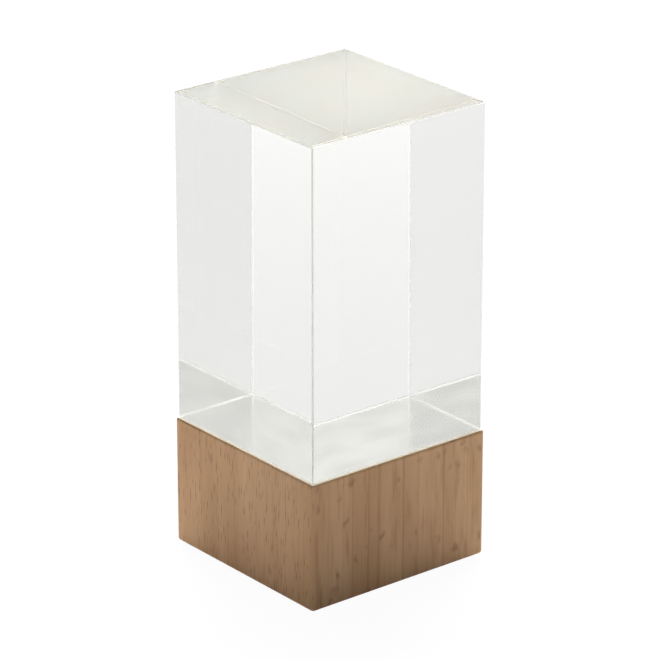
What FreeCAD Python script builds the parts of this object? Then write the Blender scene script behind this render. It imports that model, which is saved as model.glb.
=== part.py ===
import FreeCAD, Part
import os
import Sketcher

# Desk and shelf display block: a solid clear block with small bevels, bonded by a thin pale film to a
# solid hardwood base that stands on four low round felt pads. Nothing on it moves.
#
# Millimetres, +Z up. The origin is the centre of the square footprint, on the plane the pads stand on.
# The block and the base are square in plan and share one vertical axis, the Z axis.

# The driving sizes: alias, value and what the value is. Every other size follows from these.
DRIVING_SIZES = [
    ("block_width", 50.0, "side of the clear block in plan"),
    ("block_height", 80.0, "height of the clear block"),
    ("block_bevel", 0.3, "leg of the 45 degree bevel on every edge of the block"),
    ("film_thickness", 0.2, "thickness of the bonding film"),
    ("base_width", 51.2, "side of the hardwood base in plan"),
    ("base_height", 31.3, "height of the hardwood base"),
    ("base_upright_radius", 1.0, "radius sanded on the upright edges of the base"),
    ("base_lower_radius", 0.8, "radius sanded round the underside of the base"),
    ("base_top_radius", 0.5, "radius sanded round the top of the base"),
    ("pad_diameter", 8.0, "diameter of a felt pad"),
    ("pad_thickness", 1.0, "thickness of a felt pad"),
    ("pad_inset", 9.0, "from the side of the base to the centre of a felt pad"),
]

# The four pads: name, and the side of the Z axis that each one is on along X and along Y.
PAD_SIDES = [
    ("pad_front_left", -1, -1),
    ("pad_front_right", 1, -1),
    ("pad_back_left", -1, 1),
    ("pad_back_right", 1, 1),
]

# Heights at which the stacked pieces stand, from the felt pads up.
BASE_BOTTOM = "Sizes.pad_thickness"
FILM_BOTTOM = BASE_BOTTOM + " + Sizes.base_height"
BLOCK_BOTTOM = FILM_BOTTOM + " + Sizes.film_thickness"

# Any size will do while a sketch is being drawn: its constraints are bound to the sheet afterwards.
DRAWN_HALF_SIDE = 10.0


def make_sizes_sheet(doc):
    """The spreadsheet that holds the driving sizes: what each one is, its alias and its value."""
    sheet = doc.addObject("Spreadsheet::Sheet", "Sizes")
    for row, (alias, value, meaning) in enumerate(DRIVING_SIZES, start=1):
        sheet.set(f"A{row}", meaning)
        sheet.set(f"B{row}", str(value))
        sheet.setAlias(f"B{row}", alias)
    return sheet


def make_body(doc, name):
    """An empty body that stands for one physical piece."""
    body = doc.addObject("PartDesign::Body", name)
    body.Label = name
    return body


def make_ground_sketch(body, name):
    """An empty sketch on the body's own XY plane."""
    planes = [plane for plane in body.Origin.OriginFeatures if plane.Role == "XY_Plane"]
    sketch = body.newObject("Sketcher::SketchObject", name)
    sketch.AttachmentSupport = [(planes[0], "")]
    sketch.MapMode = "FlatFace"
    return sketch


def draw_centred_square(sketch, side):
    """A square centred on the sketch's origin. side is the expression for its side."""
    signs = [(-1, -1), (1, -1), (1, 1), (-1, 1)]
    corners = [FreeCAD.Vector(x * DRAWN_HALF_SIDE, y * DRAWN_HALF_SIDE, 0) for x, y in signs]
    for start, end in zip(corners, corners[1:] + corners[:1]):
        sketch.addGeometry(Part.LineSegment(start, end), False)
    for line in range(4):
        sketch.addConstraint(Sketcher.Constraint("Coincident", line, 2, (line + 1) % 4, 1))
    for line in (0, 2):
        sketch.addConstraint(Sketcher.Constraint("Horizontal", line))
    for line in (1, 3):
        sketch.addConstraint(Sketcher.Constraint("Vertical", line))
    sketch.addConstraint(Sketcher.Constraint("Equal", 0, 1))
    sketch.addConstraint(Sketcher.Constraint("Symmetric", 0, 1, 2, 1, -1, 1))
    width = sketch.addConstraint(Sketcher.Constraint("DistanceX", 0, 1, 0, 2, 2 * DRAWN_HALF_SIDE))
    sketch.setExpression(f"Constraints[{width}]", side)


def draw_centred_circle(sketch, diameter):
    """A circle centred on the sketch's origin. diameter is the expression for its diameter."""
    circle = Part.Circle(FreeCAD.Vector(0, 0, 0), FreeCAD.Vector(0, 0, 1), DRAWN_HALF_SIDE)
    sketch.addGeometry(circle, False)
    sketch.addConstraint(Sketcher.Constraint("Coincident", 0, 3, -1, 1))
    across = sketch.addConstraint(Sketcher.Constraint("Diameter", 0, 2 * DRAWN_HALF_SIDE))
    sketch.setExpression(f"Constraints[{across}]", diameter)


def pad_up(body, sketch, height):
    """The sketch's outline carried straight up. height is the expression for how far."""
    prism = body.newObject("PartDesign::Pad", body.Name + "_prism")
    prism.Profile = sketch
    prism.setExpression("Length", height)
    sketch.Visibility = False
    return prism


def edges_by_level(feature):
    """The names of a feature's edges: those round its underside, those round its top and the upright ones."""
    box = feature.Shape.BoundBox
    margin = (box.ZMax - box.ZMin) / 10
    levels = {"lower": [], "top": [], "upright": []}
    for number, edge in enumerate(feature.Shape.Edges, start=1):
        if edge.BoundBox.ZMax < box.ZMin + margin:
            level = "lower"
        elif edge.BoundBox.ZMin > box.ZMax - margin:
            level = "top"
        else:
            level = "upright"
        levels[level].append(f"Edge{number}")
    return levels


def stand_at(body, height):
    """Puts the underside of a body at a height, given as an expression."""
    body.setExpression("Placement.Base.z", height)


def make_clear_block(doc):
    """The solid clear block, with the same bevel on all twelve edges."""
    body = make_body(doc, "clear_block")
    sketch = make_ground_sketch(body, "block_plan")
    draw_centred_square(sketch, "Sizes.block_width")
    prism = pad_up(body, sketch, "Sizes.block_height")
    bevel = body.newObject("PartDesign::Chamfer", "block_bevels")
    bevel.Base = (prism, [""])
    bevel.UseAllEdges = True
    bevel.setExpression("Size", "Sizes.block_bevel")
    stand_at(body, BLOCK_BOTTOM)
    return body


def make_bonding_film(doc):
    """The pale film that bonds the block to the base, trimmed flush with the sides of the block."""
    body = make_body(doc, "bonding_film")
    sketch = make_ground_sketch(body, "film_plan")
    draw_centred_square(sketch, "Sizes.block_width")
    pad_up(body, sketch, "Sizes.film_thickness")
    stand_at(body, FILM_BOTTOM)
    return body


def make_wood_base(doc):
    """The hardwood base, one solid piece with every edge rounded by sanding."""
    body = make_body(doc, "wood_base")
    sketch = make_ground_sketch(body, "base_plan")
    draw_centred_square(sketch, "Sizes.base_width")
    sanded = pad_up(body, sketch, "Sizes.base_height")
    for level in ("upright", "lower", "top"):
        doc.recompute()
        fillet = body.newObject("PartDesign::Fillet", "base_sanded_" + level)
        fillet.Base = (sanded, edges_by_level(sanded)[level])
        fillet.setExpression("Radius", f"Sizes.base_{level}_radius")
        sanded = fillet
    stand_at(body, BASE_BOTTOM)
    return body


def make_felt_pad(doc, name, side_x, side_y):
    """One round felt pad near a corner of the base's underside."""
    body = make_body(doc, name)
    sketch = make_ground_sketch(body, name + "_plan")
    draw_centred_circle(sketch, "Sizes.pad_diameter")
    pad_up(body, sketch, "Sizes.pad_thickness")
    from_axis = "(Sizes.base_width / 2 - Sizes.pad_inset)"
    body.setExpression("Placement.Base.x", f"{side_x} * {from_axis}")
    body.setExpression("Placement.Base.y", f"{side_y} * {from_axis}")
    return body


def check(doc, pieces):
    """Stops with a message if anything in the document failed to build."""
    for item in doc.Objects:
        if "Invalid" in item.State or "Error" in item.State:
            raise RuntimeError(f"{item.Label} did not build: {item.State}")
    for piece in pieces:
        if piece.Shape.isNull() or not piece.Shape.isValid():
            raise RuntimeError(f"{piece.Label} has no valid shape")
        if len(piece.Shape.Solids) != 1:
            raise RuntimeError(f"{piece.Label} is not one solid")


def main():
    doc = FreeCAD.newDocument("display_block")
    make_sizes_sheet(doc)
    doc.recompute()
    pieces = [make_clear_block(doc), make_bonding_film(doc), make_wood_base(doc)]
    for name, side_x, side_y in PAD_SIDES:
        pieces.append(make_felt_pad(doc, name, side_x, side_y))
    doc.recompute()
    check(doc, pieces)
    os.makedirs("parts", exist_ok=True)
    for piece in pieces:
        piece.Shape.exportStep(f"parts/{piece.Label}.step")
        box = piece.Shape.optimalBoundingBox(False, False)
        print(f"{piece.Label}: {box.XLength:.2f} x {box.YLength:.2f} x {box.ZLength:.2f} mm, "
              f"z {box.ZMin:.2f} to {box.ZMax:.2f}, {piece.Shape.Volume / 1000:.3f} cm3")


main()
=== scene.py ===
import math
import random
import bmesh
import bpy
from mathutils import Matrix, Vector


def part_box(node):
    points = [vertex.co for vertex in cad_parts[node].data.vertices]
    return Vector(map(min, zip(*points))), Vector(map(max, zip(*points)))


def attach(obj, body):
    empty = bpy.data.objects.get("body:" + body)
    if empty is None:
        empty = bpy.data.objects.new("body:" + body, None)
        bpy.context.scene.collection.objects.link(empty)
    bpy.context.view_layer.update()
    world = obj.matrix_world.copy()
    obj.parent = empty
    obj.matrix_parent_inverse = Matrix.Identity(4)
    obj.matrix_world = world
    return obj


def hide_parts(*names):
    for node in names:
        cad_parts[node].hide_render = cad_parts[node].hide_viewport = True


# Looks for a clear display block on a beech base. Metres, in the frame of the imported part: +Z up, the origin
# at the centre of the footprint on the plane the pads stand on. The camera looks at the corner between the
# -Y face, on its left, and the +X face, on its right.

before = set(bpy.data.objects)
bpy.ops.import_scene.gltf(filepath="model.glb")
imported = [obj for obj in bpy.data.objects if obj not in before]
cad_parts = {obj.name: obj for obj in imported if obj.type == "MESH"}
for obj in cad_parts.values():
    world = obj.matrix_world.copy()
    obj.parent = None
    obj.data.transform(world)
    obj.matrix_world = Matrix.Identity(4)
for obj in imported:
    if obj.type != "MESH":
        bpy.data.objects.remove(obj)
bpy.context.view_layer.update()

MM = 0.001

# Camera
CAMERA_AZIMUTH = math.radians(51.07)
CAMERA_ELEVATION = math.radians(21.9)
CAMERA_DISTANCE = 0.938
CAMERA_LENS_MM = 222.2
CAMERA_AIM = Vector((0.0001, 0.0001, 0.0558))

# Studio
FLOOR_RADIUS = 10.0
FLOOR_BRIGHTNESS = 0.95

# How far out the floor's own light starts to change from what it is at the object, and where it has changed.
FLOOR_FADE_START = 0.15
FLOOR_FADE_END = 1.2

# The room's brightness at each height above the horizon, in degrees.
ROOM_BRIGHTNESS = [(0, 0.95), (10, 0.82), (22, 0.56), (45, 1.3), (90, 4.6)]
ROOM_TINT = (0.995, 1.0, 0.965)

# The part's own bevel on the block and rounding on the top of the base, which the adhesive has to fit.
BLOCK_BEVEL = 0.3 * MM
WOOD_ROUNDING = 0.5 * MM

# The film and its bead stop just short of the block, because two surfaces in one plane can't both be drawn.
FILM_CLEARANCE = 0.02 * MM

# The bead of adhesive round the foot of the block: how far out over the wood it reaches, how far up the bevel
# it climbs, how unevenly it runs, its profile from the wood up to the block, in shares of its reach and rise,
# and the number of points along each side.
BEAD_REACH = 0.2 * MM
BEAD_TOP = 0.05 * MM
BEAD_WAVER = 0.08 * MM
BEAD_PROFILE = [(1.0, 0.0), (0.78, 0.42), (0.45, 0.76), (0.0, 1.0)]
BEAD_STEPS = 40

BLOCK_IOR = 1.53

# Painted light: a glow on the block's edges and on the bead, in place of the light that the block pipes there,
# which the studio's lamps don't send there.
TOP_EDGE_PAINTED_GLOW = 0.14
UPRIGHT_EDGE_PAINTED_GLOW = 0.05
BEAD_PAINTED_GLOW = 0.32

# The beech's growth rings
PITH = Vector((0.0, 400.0, 0.0)) * MM
RING_WIDTH = 3.8 * MM


def srgb(red, green, blue):
    """A colour given as 0 to 255 display values, in the linear values that shaders take."""
    def linear(value):
        share = value / 255
        return share / 12.92 if share <= 0.04045 else ((share + 0.055) / 1.055) ** 2.4
    return (linear(red), linear(green), linear(blue), 1.0)


class Surface:
    """A material with one Principled shader, and short ways to add the nodes that feed it."""

    def __init__(self, name):
        self.material = bpy.data.materials.new(name)
        self.material.use_nodes = True
        self.tree = self.material.node_tree
        self.tree.nodes.clear()
        self.output = self.add("ShaderNodeOutputMaterial")
        self.shader = self.add("ShaderNodeBsdfPrincipled")
        self.tree.links.new(self.shader.outputs["BSDF"], self.output.inputs["Surface"])
        self.place = self.add("ShaderNodeTexCoord").outputs["Object"]

    def add(self, kind):
        return self.tree.nodes.new(kind)

    def put(self, value, socket):
        """Links an output to a socket, or sets a constant on it."""
        if isinstance(value, bpy.types.NodeSocket):
            self.tree.links.new(value, socket)
        else:
            socket.default_value = value

    def set(self, **values):
        """Sets the shader's own sockets. An underscore in a name stands for a space."""
        for name, value in values.items():
            self.put(value, self.shader.inputs[name.replace("_", " ")])

    def math(self, operation, *values):
        node = self.add("ShaderNodeMath")
        node.operation = operation
        for value, socket in zip(values, node.inputs):
            self.put(value, socket)
        return node.outputs[0]

    def vector(self, operation, *values):
        node = self.add("ShaderNodeVectorMath")
        node.operation = operation
        for value, socket in zip(values, node.inputs):
            self.put(value, socket)
        return node.outputs["Value"] if operation == "LENGTH" else node.outputs["Vector"]

    def stretched(self, x, y, z, shift=(0.0, 0.0, 0.0)):
        """The place on the object, counted in cells of x by y by z metres."""
        moved = self.vector("ADD", self.place, shift)
        return self.vector("MULTIPLY", moved, (1 / x, 1 / y, 1 / z))

    def noise(self, place, scale=1.0, detail=2.0, roughness=0.5, distortion=0.0):
        node = self.add("ShaderNodeTexNoise")
        self.put(place, node.inputs["Vector"])
        self.put(scale, node.inputs["Scale"])
        self.put(detail, node.inputs["Detail"])
        self.put(roughness, node.inputs["Roughness"])
        self.put(distortion, node.inputs["Distortion"])
        return node.outputs["Fac"]

    def remap(self, value, low, high, to_low=0.0, to_high=1.0, smooth=True):
        node = self.add("ShaderNodeMapRange")
        node.interpolation_type = "SMOOTHSTEP" if smooth else "LINEAR"
        for number, socket in zip((value, low, high, to_low, to_high), node.inputs):
            self.put(number, socket)
        return node.outputs["Result"]

    def split(self, vector):
        node = self.add("ShaderNodeSeparateXYZ")
        self.put(vector, node.inputs[0])
        return node.outputs

    def mix_number(self, share, first, second):
        node = self.add("ShaderNodeMix")
        for value, socket in zip((share, first, second), (node.inputs[0], node.inputs[2], node.inputs[3])):
            self.put(value, socket)
        return node.outputs[0]

    def blend(self, share, first, second, mode="MIX"):
        """first turning into second as share goes from 0 to 1."""
        node = self.add("ShaderNodeMix")
        node.data_type = "RGBA"
        node.blend_type = mode
        self.put(share, node.inputs["Factor"])
        self.put(first, node.inputs[6])
        self.put(second, node.inputs[7])
        return node.outputs[2]

    def bump(self, height, strength, depth):
        node = self.add("ShaderNodeBump")
        self.put(height, node.inputs["Height"])
        self.put(strength, node.inputs["Strength"])
        self.put(depth, node.inputs["Distance"])
        self.tree.links.new(node.outputs["Normal"], self.shader.inputs["Normal"])

    def coat(self, obj):
        """Gives this material to every slot of an object."""
        obj.data.materials.clear()
        obj.data.materials.append(self.material)


def clear_acrylic():
    """Cast acrylic: polished faces, satin bevels and a finely sanded underside. The bevels carry a painted
    glow, and those at the foot painted shade.
    """
    surface = Surface("clear_acrylic")
    low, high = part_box("clear_block")
    across = surface.vector("ABSOLUTE", surface.add("ShaderNodeTexCoord").outputs["Normal"])
    facing = surface.split(across)
    square_on = surface.math("MAXIMUM", surface.math("MAXIMUM", facing["X"], facing["Y"]), facing["Z"])
    level = surface.math("GREATER_THAN", facing["Z"], 0.9)
    lower_half = surface.math("LESS_THAN", surface.split(surface.place)["Z"], (low.z + high.z) / 2)
    upper_half = surface.math("SUBTRACT", 1.0, lower_half)
    haze = surface.noise(surface.stretched(20 * MM, 20 * MM, 20 * MM), detail=3.0)
    grit = surface.noise(surface.stretched(14 * MM, 14 * MM, 14 * MM), detail=1.5)
    polished = surface.remap(haze, 0.5, 0.75, 0.0, 0.02)
    sanded = surface.remap(grit, 0.3, 0.7, 0.2, 0.27)
    satin = surface.remap(grit, 0.3, 0.7, 0.52, 0.62)
    bevel = surface.math("LESS_THAN", square_on, 0.9)
    slope = surface.math("GREATER_THAN", facing["Z"], 0.3)
    # Painted light: the upright bevels glow a little and the top ones more, in place of light piped along the
    # block.
    glow = surface.mix_number(slope, UPRIGHT_EDGE_PAINTED_GLOW, surface.math("MULTIPLY", upper_half, TOP_EDGE_PAINTED_GLOW))
    rough = surface.mix_number(surface.math("MULTIPLY", level, lower_half), polished, sanded)
    rough = surface.mix_number(bevel, rough, satin)
    foot_bevel = surface.math("MULTIPLY", surface.math("MULTIPLY", bevel, slope), lower_half)
    # Painted shade: the bevels at the foot of the block are greyed, for the dark line where it meets the wood.
    foot_shade_colour = surface.blend(foot_bevel, grey(1.0), grey(0.75))
    surface.set(Base_Color=foot_shade_colour, Roughness=rough, IOR=BLOCK_IOR, Transmission_Weight=1.0)
    surface.set(Emission_Color=grey(1.0), Emission_Strength=surface.math("MULTIPLY", bevel, glow))
    absorption = surface.add("ShaderNodeVolumeAbsorption")
    absorption.inputs["Color"].default_value = (0.86, 0.9, 0.55, 1.0)
    absorption.inputs["Density"].default_value = 0.85
    surface.tree.links.new(absorption.outputs["Volume"], surface.output.inputs["Volume"])
    return surface


def pale_film():
    """White adhesive film, faintly mottled where it has wetted out unevenly.

    The bead round it is darker in the groove under the bevel, where it isn't in contact with the block, which
    is painted shade, and cream and glossy where it is open to the air, where it also glows with painted light.
    """
    surface = Surface("pale_film")
    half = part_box("bonding_film")[1].x
    mottle = surface.noise(surface.stretched(14 * MM, 14 * MM, 14 * MM), detail=2.0)
    place = surface.split(surface.vector("ABSOLUTE", surface.place))
    reach = surface.math("MAXIMUM", place["X"], place["Y"])
    shaded_groove = surface.math("GREATER_THAN", reach, half - BLOCK_BEVEL + FILM_CLEARANCE)
    in_air = surface.math("GREATER_THAN", reach, half - BLOCK_BEVEL + BEAD_TOP + FILM_CLEARANCE)
    colour = surface.blend(surface.remap(mottle, 0.35, 0.65), srgb(243, 244, 246), srgb(250, 243, 243))
    # Painted shade: the bead is greyed in the groove under the block's bevel.
    colour = surface.blend(shaded_groove, colour, srgb(196, 195, 186))
    colour = surface.blend(in_air, colour, srgb(253, 247, 232))
    surface.set(Base_Color=colour, Roughness=surface.mix_number(in_air, 0.55, 0.2))
    # Painted light: the open bead glows cream, in place of light that the block pipes to it.
    surface.set(Emission_Color=srgb(255, 236, 205))
    surface.set(Emission_Strength=surface.math("MULTIPLY", in_air, BEAD_PAINTED_GLOW))
    surface.bump(surface.noise(surface.stretched(1 * MM, 1 * MM, 1 * MM)), 0.1, 0.02 * MM)
    return surface


def beech():
    """Beech with its grain upright and its growth rings facing along Y.

    The rays run along Y too. The Y faces cut across them, as short dark dashes, and the X faces cut along
    them, as smudged flecks between the upright lines of the rings.
    """
    surface = Surface("beech")
    tone = surface.noise(surface.stretched(7 * MM, 11 * MM, 60 * MM), detail=2.0)
    fibre = surface.noise(surface.stretched(0.2 * MM, 0.35 * MM, 8 * MM), detail=3.0, roughness=0.65)
    streak = surface.noise(surface.stretched(0.6 * MM, 1.6 * MM, 16 * MM), detail=3.0, roughness=0.6)
    vessel = surface.noise(surface.stretched(0.28 * MM, 0.6 * MM, 11 * MM), detail=2.0)
    ring_tone, line = beech_rings(surface)
    rays = beech_rays(surface)
    colour = surface.blend(surface.remap(tone, 0.35, 0.65), srgb(206, 163, 121), srgb(219, 177, 135))
    colour = surface.blend(surface.math("MULTIPLY", ring_tone, 0.3), colour, srgb(184, 139, 96))
    colour = surface.blend(surface.remap(streak, 0.5, 0.75, 0.0, 0.5), colour, srgb(172, 128, 86))
    colour = surface.blend(surface.remap(fibre, 0.4, 0.75, 0.0, 0.17), colour, srgb(170, 127, 88))
    colour = surface.blend(surface.remap(vessel, 0.6, 0.74, 0.0, 0.25), colour, srgb(146, 101, 62))
    colour = surface.blend(surface.math("MULTIPLY", line, 0.32), colour, srgb(146, 101, 62))
    across = surface.vector("ABSOLUTE", surface.add("ShaderNodeTexCoord").outputs["Normal"])
    ray_strength = surface.remap(surface.split(across)["X"], 0.0, 1.0, 0.85, 0.42)
    colour = surface.blend(surface.math("MULTIPLY", rays, ray_strength), colour, srgb(120, 76, 42))
    surface.set(Base_Color=colour, Roughness=surface.remap(fibre, 0.2, 0.8, 0.5, 0.68))
    surface.shader.inputs["Specular IOR Level"].default_value = 0.15
    surface.bump(surface.math("SUBTRACT", fibre, rays), 0.3, 0.06 * MM)
    return surface


def beech_rings(surface):
    """Growth rings about a pith behind the base: each ring's own tone, and the dark line at its border."""
    sway = surface.noise(surface.stretched(24 * MM, 24 * MM, 90 * MM), detail=1.0)
    seasons = surface.noise(surface.stretched(400 * MM, 5 * MM, 400 * MM), detail=1.0)
    from_pith = surface.vector("MULTIPLY", surface.vector("SUBTRACT", surface.place, PITH), (1.0, 1.0, 0.0))
    rings = surface.math("DIVIDE", surface.vector("LENGTH", from_pith), RING_WIDTH)
    rings = surface.math("ADD", rings, surface.math("MULTIPLY", seasons, 1.5))
    rings = surface.math("ADD", rings, surface.math("MULTIPLY", sway, 0.3))
    late = surface.math("FRACT", rings)
    ring_tone = surface.add("ShaderNodeTexWhiteNoise")
    ring_tone.noise_dimensions = "1D"
    surface.put(surface.math("FLOOR", rings), ring_tone.inputs["W"])
    tone = ring_tone.outputs["Value"]
    border = surface.remap(late, 0.82, 0.97)
    return tone, surface.math("MULTIPLY", border, surface.remap(tone, 0.0, 0.7, 0.3, 1.0))


def beech_rays(surface):
    """The rays, as thin upright lenses that are long from front to back: 1 inside one and 0 outside."""
    cells = surface.stretched(0.9 * MM, 4.0 * MM, 3.4 * MM)
    wander = surface.add("ShaderNodeTexNoise")
    surface.put(surface.stretched(2.6 * MM, 2.6 * MM, 2.6 * MM), wander.inputs["Vector"])
    surface.put(1.0, wander.inputs["Scale"])
    surface.put(2.0, wander.inputs["Detail"])
    sideways = surface.vector("SUBTRACT", wander.outputs["Color"], (0.5, 0.5, 0.5))
    place = surface.vector("ADD", cells, surface.vector("MULTIPLY", sideways, (0.2, 1.1, 0.5)))
    voronoi = surface.add("ShaderNodeTexVoronoi")
    surface.put(place, voronoi.inputs["Vector"])
    surface.put(1.0, voronoi.inputs["Scale"])
    size = surface.remap(surface.split(voronoi.outputs["Color"])["X"], 0.0, 1.0, 1.35, 0.75, smooth=False)
    away = surface.vector("SUBTRACT", place, voronoi.outputs["Position"])
    distance = surface.vector("LENGTH", surface.vector("MULTIPLY", away, (7.0, 2.9, 1.8)))
    return surface.remap(surface.math("MULTIPLY", distance, size), 1.0, 0.2)


def wool_felt():
    """Brown wool felt: short tangled fibres."""
    surface = Surface("wool_felt")
    tangle = surface.noise(surface.stretched(0.3 * MM, 0.3 * MM, 0.3 * MM), detail=5.0, roughness=0.7)
    colour = surface.blend(surface.remap(tangle, 0.3, 0.7), srgb(92, 78, 64), srgb(132, 114, 94))
    surface.set(Base_Color=colour, Roughness=0.95, Sheen_Weight=0.4, Sheen_Roughness=0.6)
    surface.bump(tangle, 0.6, 0.15 * MM)
    return surface


def bonding_film():
    """The film, with the adhesive squeezed out round it, which fills the groove under the block's bevels.

    Rings of points follow the square outline: in under the bead along the wood, up the bead from the wood to
    the block, and in under the bevel to the flat that the block rests on.
    """
    low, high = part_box("bonding_film")
    half = high.x
    over_edge = half + BEAD_REACH - (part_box("wood_base")[1].x - WOOD_ROUNDING)
    dip = WOOD_ROUNDING - math.sqrt(WOOD_ROUNDING ** 2 - over_edge ** 2)
    foot = low.z - dip
    rise = high.z + BEAD_TOP - FILM_CLEARANCE - foot
    inmost = half - BLOCK_BEVEL + BEAD_TOP
    across = half + BEAD_REACH - inmost
    rings = [(inmost + out * across, foot + up * rise, out) for out, up in BEAD_PROFILE]
    rings.insert(0, (half - FILM_CLEARANCE, low.z, 0.0))
    rings.append((half - BLOCK_BEVEL, high.z - FILM_CLEARANCE, 0.0))
    form = bmesh.new()
    loops = [square_ring(form, *ring) for ring in rings]
    for outer, inner in zip(loops, loops[1:]):
        for index in range(len(outer)):
            after = (index + 1) % len(outer)
            form.faces.new((outer[index], outer[after], inner[after], inner[index]))
    form.faces.new(loops[-1])
    form.faces.new(reversed(loops[0]))
    mesh = bpy.data.meshes.new("bonding_film_bead")
    form.to_mesh(mesh)
    form.free()
    film = bpy.data.objects.new("bonding_film_bead", mesh)
    bpy.context.scene.collection.objects.link(film)
    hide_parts("bonding_film")
    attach(film, "root")
    return film


def square_ring(form, reach, height, unevenness):
    """A ring of points on a square outline, drawn in by up to the bead's waver where it is uneven."""
    waver = random.Random(4)
    ring = []
    for side in range(4):
        turn = math.radians(90 * side)
        for step in range(BEAD_STEPS):
            drawn_in = waver.uniform(0.0, BEAD_WAVER) * unevenness
            along = (reach - drawn_in) * (2 * step / BEAD_STEPS - 1)
            inward = reach - drawn_in
            x = along * math.cos(turn) + inward * math.sin(turn)
            y = along * math.sin(turn) - inward * math.cos(turn)
            ring.append(form.verts.new((x, y, height)))
    return ring


def make_camera():
    azimuth, elevation = CAMERA_AZIMUTH, CAMERA_ELEVATION
    back = Vector((
        math.sin(azimuth) * math.cos(elevation),
        -math.cos(azimuth) * math.cos(elevation),
        math.sin(elevation),
    ))
    camera = bpy.data.objects.new("camera", bpy.data.cameras.new("camera"))
    camera.data.lens = CAMERA_LENS_MM
    camera.data.clip_start = 0.05
    camera.data.clip_end = 20.0
    camera.location = CAMERA_AIM + back * CAMERA_DISTANCE
    camera.rotation_euler = (math.pi / 2 - elevation, 0.0, azimuth)
    bpy.context.scene.collection.objects.link(camera)
    bpy.context.scene.camera = camera


def floor_sheet(name, base, glow):
    """A round sheet of floor paper that reflects its base colour and glows by itself, more further out.

    No ray sees it until one kind is switched on.
    """
    mesh = bpy.data.meshes.new(name)
    form = bmesh.new()
    bmesh.ops.create_circle(form, cap_ends=True, segments=96, radius=FLOOR_RADIUS)
    form.to_mesh(mesh)
    form.free()
    sheet = bpy.data.objects.new(name, mesh)
    bpy.context.scene.collection.objects.link(sheet)
    surface = Surface(name)
    tooth = surface.noise(surface.stretched(0.002, 0.002, 0.002))
    colour = surface.blend(surface.remap(tooth, 0.3, 0.7), grey(0.98 * base), grey(base))
    away = surface.vector("LENGTH", surface.place)
    lit = surface.remap(away, FLOOR_FADE_START, FLOOR_FADE_END, glow, FLOOR_BRIGHTNESS)
    surface.set(Base_Color=colour, Roughness=0.9, Emission_Color=grey(1.0), Emission_Strength=lit)
    surface.shader.inputs["Specular IOR Level"].default_value = 0.0
    surface.coat(sheet)
    sheet.visible_shadow = False
    sheet.visible_camera = False
    sheet.visible_glossy = False
    sheet.visible_transmission = False
    sheet.visible_diffuse = False
    return sheet


def make_floor():
    """The plain pale floor, as three sheets in one plane that different rays see.

    The camera sees the palest, with a faint shadow. The block shows a plainer one. The wood takes its light
    from one that keeps the whole shadow.
    """
    floor_sheet("floor", 0.06, 0.965).visible_camera = True
    in_glass = floor_sheet("floor_in_glass", 0.28, 0.45)
    in_glass.visible_glossy = True
    in_glass.visible_transmission = True
    floor_sheet("floor_bounce", 0.92, 0.0).visible_diffuse = True


def grey(value):
    return (value, value, value, 1.0)


def studio_direction(right, behind, up):
    """A direction given as the camera sees it: to its right, away from it, and up."""
    azimuth = CAMERA_AZIMUTH
    return Vector((
        right * math.cos(azimuth) - behind * math.sin(azimuth),
        right * math.sin(azimuth) + behind * math.cos(azimuth),
        up,
    ))


def softbox(name, place, side, power):
    """A square soft light that faces the object. Only surfaces that scatter light show it."""
    light = bpy.data.lights.new(name, "AREA")
    light.shape = "SQUARE"
    light.size = side
    light.energy = power
    lamp = bpy.data.objects.new(name, light)
    bpy.context.scene.collection.objects.link(lamp)
    lamp.location = place
    lamp.rotation_euler = (CAMERA_AIM - place).to_track_quat("-Z", "Y").to_euler()
    lamp.visible_camera = False
    lamp.visible_glossy = False
    lamp.visible_transmission = False
    return lamp


def shade_from(lamp, piece):
    """Keeps a lamp's own light off one piece."""
    shaded = bpy.data.collections.new("shaded_from_" + lamp.name)
    shaded.objects.link(piece)
    shaded.collection_objects[0].light_linking.link_state = "EXCLUDE"
    lamp.light_linking.receiver_collection = shaded


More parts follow.
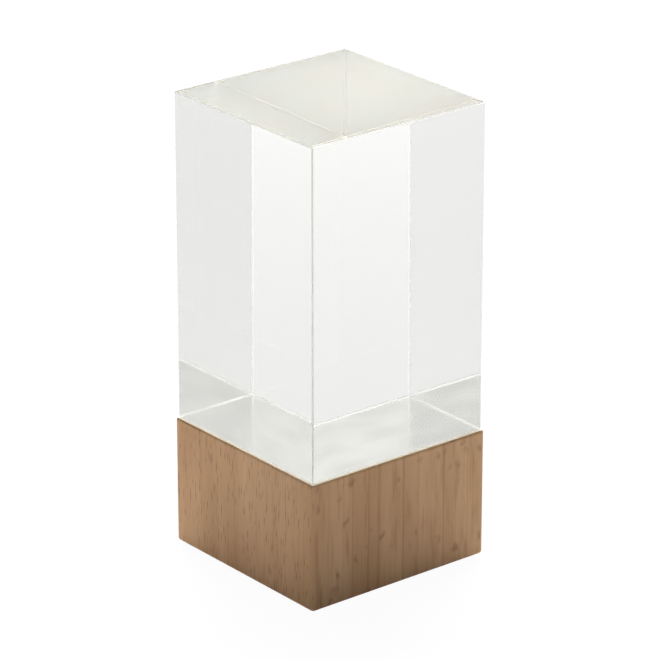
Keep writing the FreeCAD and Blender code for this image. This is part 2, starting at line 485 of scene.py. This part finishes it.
def light_studio():
    """A key light above and behind the object, and a weak fill in front and to the left.

    The wood takes the key light only by way of the floor, so that its four sides are lit alike.
    """
    key = softbox("key", studio_direction(0.0, 0.5, 0.8), 0.8, 20.0)
    softbox("fill", studio_direction(-0.3, -0.55, 0.45), 0.6, 0.65)
    shade_from(key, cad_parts["wood_base"])


def light_world():
    """What the clear block and the gloss of the wood show: a pale room that is brightest overhead."""
    world = bpy.data.worlds.new("studio")
    bpy.context.scene.world = world
    world.cycles_visibility.diffuse = False
    world.use_nodes = True
    tree = world.node_tree
    direction = tree.nodes.new("ShaderNodeTexCoord").outputs["Generated"]
    height = tree.nodes.new("ShaderNodeSeparateXYZ")
    tree.links.new(direction, height.inputs[0])
    ramp = tree.nodes.new("ShaderNodeValToRGB")
    tree.links.new(height.outputs["Z"], ramp.inputs["Fac"])
    stops = ramp.color_ramp.elements
    while len(stops) < len(ROOM_BRIGHTNESS):
        stops.new(1.0)
    brightest = max(brightness for elevation, brightness in ROOM_BRIGHTNESS)
    for stop, (elevation, brightness) in zip(stops, ROOM_BRIGHTNESS):
        stop.position = math.sin(math.radians(elevation))
        stop.color = tuple(brightness / brightest * value for value in ROOM_TINT) + (1.0,)
    toward = tree.nodes.new("ShaderNodeVectorMath")
    toward.operation = "DOT_PRODUCT"
    tree.links.new(direction, toward.inputs[0])
    toward.inputs[1].default_value = studio_direction(0.3, 1.0, 0.0).normalized()
    strength = tree.nodes.new("ShaderNodeMapRange")
    tree.links.new(toward.outputs["Value"], strength.inputs["Value"])
    strength.inputs["To Min"].default_value = 0.9 * brightest
    strength.inputs["To Max"].default_value = 1.04 * brightest
    background = tree.nodes["Background"]
    tree.links.new(ramp.outputs["Color"], background.inputs["Color"])
    tree.links.new(strength.outputs["Result"], background.inputs["Strength"])


make_camera()
make_floor()
light_studio()
light_world()
clear_acrylic().coat(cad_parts["clear_block"])
beech().coat(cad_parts["wood_base"])
felt = wool_felt()
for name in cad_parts:
    if name.startswith("pad_"):
        felt.coat(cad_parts[name])
pale_film().coat(bonding_film())

scene = bpy.context.scene
scene.view_settings.view_transform = "Standard"
scene.cycles.max_bounces = 32
scene.cycles.transmission_bounces = 32
scene.cycles.glossy_bounces = 32
scene.cycles.diffuse_bounces = 6
